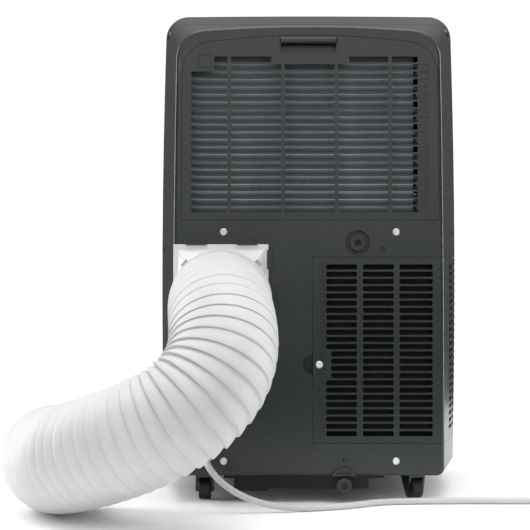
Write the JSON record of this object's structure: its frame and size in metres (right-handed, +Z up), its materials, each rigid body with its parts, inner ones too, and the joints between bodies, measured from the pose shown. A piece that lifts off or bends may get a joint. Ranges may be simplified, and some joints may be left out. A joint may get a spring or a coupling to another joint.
{
  "type": "portable air conditioner",
  "caption": "Portable air conditioner on casters with rear filter grilles, control deck, front louvre, pleated exhaust hose and power cord.",
  "frame": {"origin": "centre of the cabinet's footprint at floor level, measured with the hose adaptor and without the hose and cord", "axes": "+Z up; -Y is the rear side with the grilles and the exhaust hose, +Y is the front with the air outlet; +X is right when looking at the rear"},
  "size_m": [0.8819, 0.6448, 0.71],
  "materials": {
    "dark_shell": "fine-textured moulded plastic, dark grey-green",
    "black_plastic": "moulded black plastic",
    "caster_black": "smooth black nylon",
    "caster_tread": "moulded wheel tread",
    "grey_plug": "grey rubber plug",
    "black_rubber": "black rubber plug",
    "condenser_fins": "dark bare fins behind a filter",
    "white_plastic": "moulded off-white plastic",
    "hose_white": "flexible white pleated plastic",
    "cord_grey": "light grey vinyl",
    "tie_black": "soft black tie",
    "zinc_screw": "bright zinc plate",
    "dark_screw": "blackened",
    "coil_fins": "blue-coated fins",
    "black_enamel": "black enamel",
    "rubber_mount": "moulded rubber",
    "copper_pipe": "drawn copper",
    "galvanised": "galvanised sheet",
    "circuit_board": "laminate with parts",
    "panel_gloss": "gloss black"
  },
  "bodies": {
    "cabinet": {"accumulator": "black_enamel", "air_outlet_duct": "black_plastic", "base_pan": "black_plastic", "caster_sockets": "caster_black", "compressor": "black_enamel", "compressor_grommets": "rubber_mount", "condenser_coil": "condenser_fins", "control_box": "galvanised", "control_panel": "panel_gloss", "cord_coil": "cord_grey", "cord_gland": "cord_grey", "cord_tie": "tie_black", "cover_screws": "zinc_screw", "display_lens": "panel_gloss", "drain_spouts": "grey_plug", "drain_tray": "black_plastic", "evaporator_coil": "coil_fins", "exhaust_duct": "white_plastic", "front_shell": "dark_shell", "lower_fan_motor": "galvanised", "lower_fan_scroll": "black_plastic", "main_board": "circuit_board", "mains_plug": "cord_grey", "power_cord": "cord_grey", "rear_cover": "dark_shell", "refrigerant_pipes": "copper_pipe", "small_screws": "dark_screw", "splash_motor": "black_plastic", "top_cover": "dark_shell", "upper_fan_motor": "galvanised", "upper_fan_scroll": "black_plastic"},
    "upper_grille": {"upper_grille_panel": "dark_shell", "upper_filter_mesh": "black_plastic"},
    "lower_door": {"lower_filter_door": "dark_shell", "lower_filter_mesh": "black_plastic"},
    "door_screw_body": {"door_screw": "zinc_screw"},
    "hose_assembly": {"hose_adaptor": "white_plastic", "exhaust_hose": "hose_white", "hose_end_cuff": "white_plastic"},
    "upper_drain_plug": {"upper_drain_cap": "grey_plug"},
    "lower_drain_plug": {"lower_drain_cap": "black_rubber"},
    "flap": {"outlet_flap": "dark_shell"},
    "vane_left": {"outlet_vane_left": "black_plastic"},
    "vane_middle": {"outlet_vane_middle": "black_plastic"},
    "vane_right": {"outlet_vane_right": "black_plastic"},
    "upper_blower": {"upper_blower_wheel": "black_plastic"},
    "lower_blower": {"lower_blower_wheel": "black_plastic"},
    "splasher": {"splash_wheel": "black_plastic"},
    "button_power_body": {"button_power": "panel_gloss"},
    "button_mode_body": {"button_mode": "panel_gloss"},
    "button_fan_speed_body": {"button_fan_speed": "panel_gloss"},
    "button_timer_body": {"button_timer": "panel_gloss"},
    "fork_rear_left": {"caster_fork_rear_left": "caster_black"},
    "wheel_rear_left": {"caster_wheel_rear_left": "caster_tread"},
    "fork_rear_right": {"caster_fork_rear_right": "caster_black"},
    "wheel_rear_right": {"caster_wheel_rear_right": "caster_tread"},
    "fork_front_left": {"caster_fork_front_left": "caster_black"},
    "wheel_front_left": {"caster_wheel_front_left": "caster_tread"},
    "fork_front_right": {"caster_fork_front_right": "caster_black"},
    "wheel_front_right": {"caster_wheel_front_right": "caster_tread"}
  },
  "joints": [
    {"name": "upper_grille_tilt", "type": "hinge", "parent": "cabinet", "child": "upper_grille", "pos_m": [0, -0.1554, 0.3974], "axis": [1, 0, 0], "range_deg": [0, 75]},
    {"name": "lower_door_swing", "type": "hinge", "parent": "cabinet", "child": "lower_door", "pos_m": [0.2214, 0.06025, 0.215], "axis": [0, 0, 1], "range_deg": [0, 80]},
    {"name": "door_screw_out", "type": "slide", "parent": "lower_door", "child": "door_screw_body", "axis": [0, -1, 0], "range_m": [0, 0.006]},
    {"name": "hose_adaptor_slide", "type": "slide", "parent": "cabinet", "child": "hose_assembly", "axis": [-1, 0, 0], "range_m": [0, 0.135]},
    {"name": "upper_drain_plug_pull", "type": "slide", "parent": "cabinet", "child": "upper_drain_plug", "axis": [0, -1, 0], "range_m": [0, 0.03]},
    {"name": "lower_drain_plug_pull", "type": "slide", "parent": "cabinet", "child": "lower_drain_plug", "axis": [0, -1, 0], "range_m": [0, 0.03]},
    {"name": "outlet_flap_swing", "type": "hinge", "parent": "cabinet", "child": "flap", "pos_m": [0, 0.1916, 0.665], "axis": [1, 0, 0], "range_deg": [0, 75]},
    {"name": "vane_middle_turn", "type": "hinge", "parent": "cabinet", "child": "vane_middle", "pos_m": [0, 0.158, 0.631], "axis": [0, 0, 1], "range_deg": [-35, 35]},
    {"name": "vane_left_turn", "type": "hinge", "parent": "cabinet", "child": "vane_left", "pos_m": [-0.072, 0.158, 0.631], "axis": [0, 0, 1], "range_deg": [-35, 35]},
    {"name": "vane_right_turn", "type": "hinge", "parent": "cabinet", "child": "vane_right", "pos_m": [0.072, 0.158, 0.631], "axis": [0, 0, 1], "range_deg": [-35, 35]},
    {"name": "upper_blower_spin", "type": "hinge", "parent": "cabinet", "child": "upper_blower", "pos_m": [0, -0.05, 0.494], "axis": [0, 1, 0], "continuous": true},
    {"name": "lower_blower_spin", "type": "hinge", "parent": "cabinet", "child": "lower_blower", "pos_m": [0.085, -0.06, 0.215], "axis": [0, 1, 0], "continuous": true},
    {"name": "splash_wheel_spin", "type": "hinge", "parent": "cabinet", "child": "splasher", "pos_m": [-0.031, -0.081, 0.076], "axis": [0, 1, 0], "continuous": true},
    {"name": "button_power_press", "type": "slide", "parent": "cabinet", "child": "button_power_body", "axis": [0, 0, -1], "range_m": [0, 0.0012], "stiffness_N_per_m": 400},
    {"name": "button_mode_press", "type": "slide", "parent": "cabinet", "child": "button_mode_body", "axis": [0, 0, -1], "range_m": [0, 0.0012], "stiffness_N_per_m": 400},
    {"name": "button_fan_speed_press", "type": "slide", "parent": "cabinet", "child": "button_fan_speed_body", "axis": [0, 0, -1], "range_m": [0, 0.0012], "stiffness_N_per_m": 400},
    {"name": "button_timer_press", "type": "slide", "parent": "cabinet", "child": "button_timer_body", "axis": [0, 0, -1], "range_m": [0, 0.0012], "stiffness_N_per_m": 400},
    {"name": "swivel_rear_left", "type": "hinge", "parent": "cabinet", "child": "fork_rear_left", "pos_m": [-0.148, -0.106, 0.04], "axis": [0, 0, 1], "continuous": true},
    {"name": "roll_rear_left", "type": "hinge", "parent": "fork_rear_left", "child": "wheel_rear_left", "pos_m": [-0.148, -0.113, 0.015], "axis": [1, 0, 0], "continuous": true},
    {"name": "swivel_rear_right", "type": "hinge", "parent": "cabinet", "child": "fork_rear_right", "pos_m": [0.148, -0.106, 0.04], "axis": [0, 0, 1], "continuous": true},
    {"name": "roll_rear_right", "type": "hinge", "parent": "fork_rear_right", "child": "wheel_rear_right", "pos_m": [0.15085, -0.11239, 0.015], "axis": [0.9135, 0.4067, 0], "continuous": true},
    {"name": "swivel_front_left", "type": "hinge", "parent": "cabinet", "child": "fork_front_left", "pos_m": [-0.148, 0.14, 0.04], "axis": [0, 0, 1], "continuous": true},
    {"name": "roll_front_left", "type": "hinge", "parent": "fork_front_left", "child": "wheel_front_left", "pos_m": [-0.15129, 0.13382, 0.015], "axis": [0.8829, -0.4695, 0], "continuous": true},
    {"name": "swivel_front_right", "type": "hinge", "parent": "cabinet", "child": "fork_front_right", "pos_m": [0.148, 0.14, 0.04], "axis": [0, 0, 1], "continuous": true},
    {"name": "roll_front_right", "type": "hinge", "parent": "fork_front_right", "child": "wheel_front_right", "pos_m": [0.15016, 0.13334, 0.015], "axis": [0.9511, 0.309, 0], "continuous": true}
  ],
  "couplings": [
    {"joint": "vane_left_turn", "follows": "vane_middle_turn", "ratio": 1},
    {"joint": "vane_right_turn", "follows": "vane_middle_turn", "ratio": 1}
  ]
}
